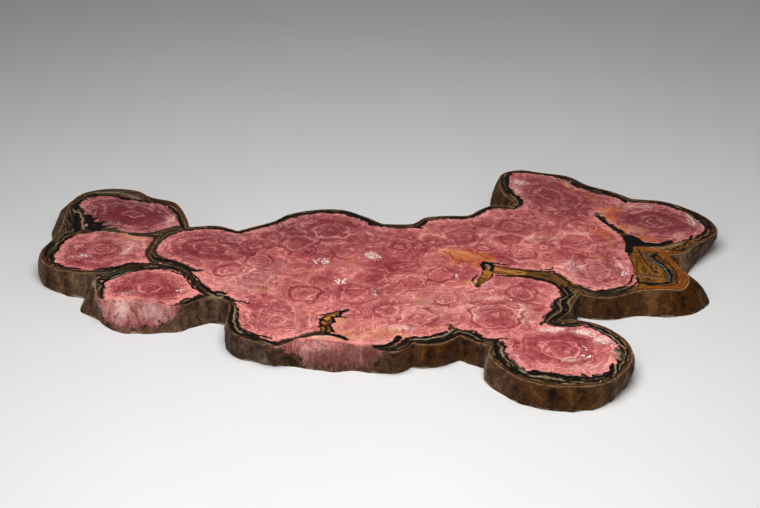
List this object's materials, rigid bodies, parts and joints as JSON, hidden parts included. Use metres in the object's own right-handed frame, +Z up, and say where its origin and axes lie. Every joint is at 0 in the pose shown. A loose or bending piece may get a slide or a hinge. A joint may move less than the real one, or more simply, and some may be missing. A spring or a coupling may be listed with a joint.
{
  "type": "rhodochrosite slice",
  "caption": "Flat sawn and polished slice across a cluster of stalactites, with a lobed outline, a rough natural wall and broken edges at the front.",
  "frame": {"origin": "centre of the footprint, on the lower cut face that the slice lies on", "axes": "+X along the slice's length towards its pointed end, +Y towards its back edge, +Z up through its thickness"},
  "size_m": [0.2452, 0.1554, 0.009],
  "materials": {
    "banded_stone": "polished pink banded stone on the cut faces, rough brown skin on the wall"
  },
  "bodies": {
    "root": {"rhodochrosite_slice": "banded_stone"}
  },
  "joints": []
}
